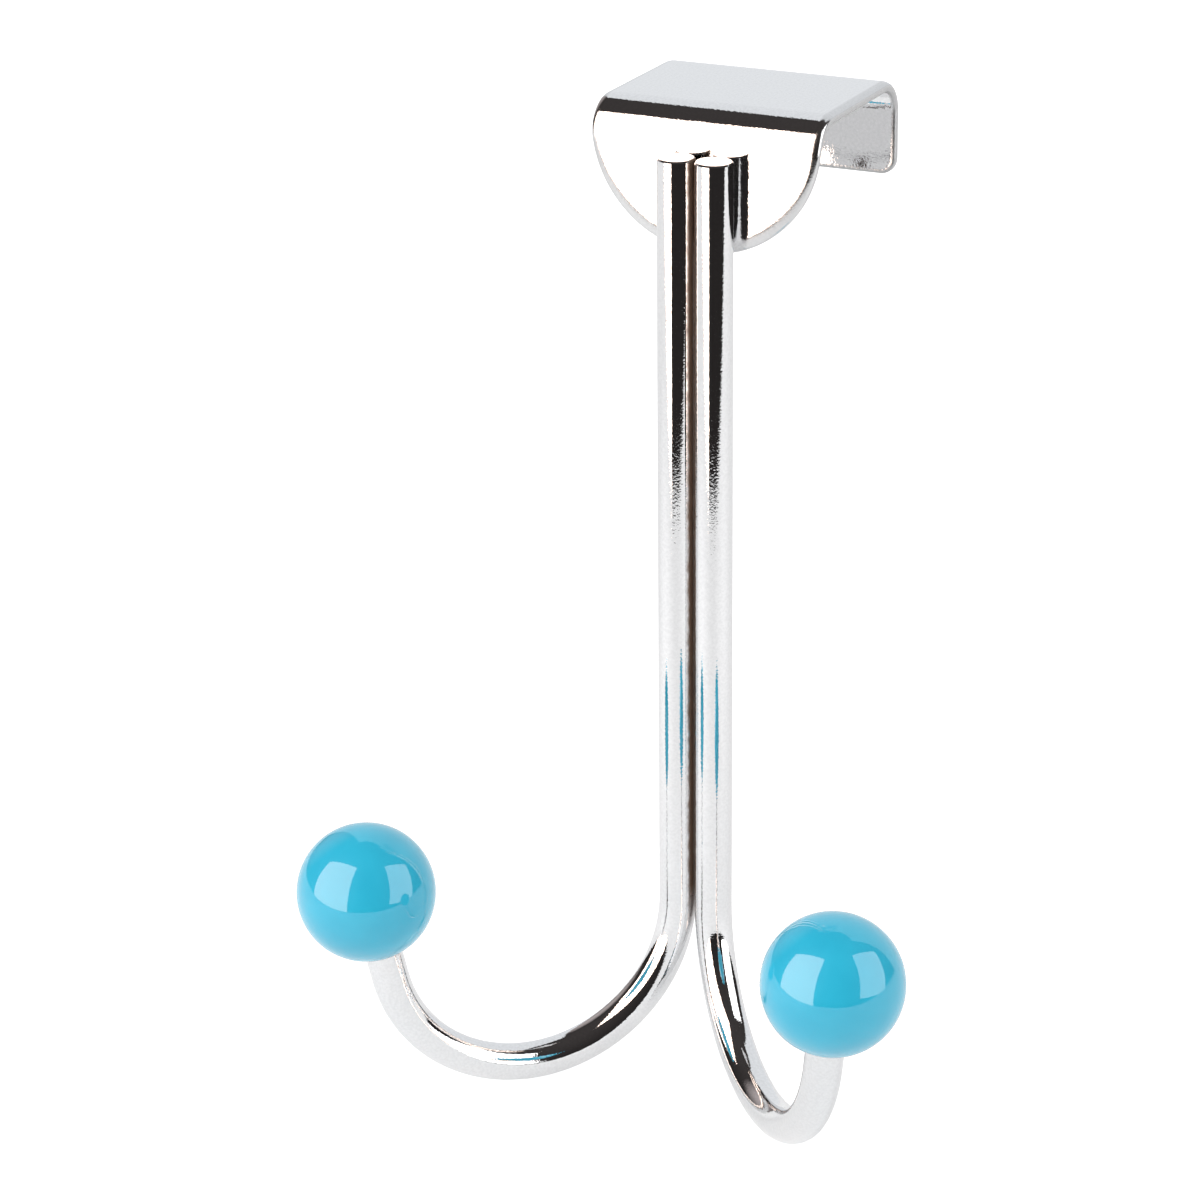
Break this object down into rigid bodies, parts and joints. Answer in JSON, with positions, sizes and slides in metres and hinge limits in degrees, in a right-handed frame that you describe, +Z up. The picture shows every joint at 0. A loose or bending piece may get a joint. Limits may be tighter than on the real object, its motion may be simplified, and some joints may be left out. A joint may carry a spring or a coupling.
{
  "type": "over-door double coat hook",
  "caption": "Over-door coat hook: a folded chrome strip seats on the door's top edge, and bent chrome rods welded to its apron splay forward as hooks with glossy turquoise balls.",
  "frame": {"origin": "centre of the strip's flat underside, the seat that lies on the door's top edge", "axes": "+Z up, -Y to the front where the hooks hang, +X to the right as seen from the front"},
  "size_m": [0.1174, 0.0996, 0.1835],
  "materials": {
    "chrome_plated_steel": "mirror chrome plate on steel strip and rod",
    "turquoise_gloss": "smooth high-gloss turquoise"
  },
  "bodies": {
    "root": {"door_bracket": "chrome_plated_steel", "left_hook_rod": "chrome_plated_steel", "right_hook_rod": "chrome_plated_steel", "left_ball": "turquoise_gloss", "right_ball": "turquoise_gloss"}
  },
  "joints": []
}
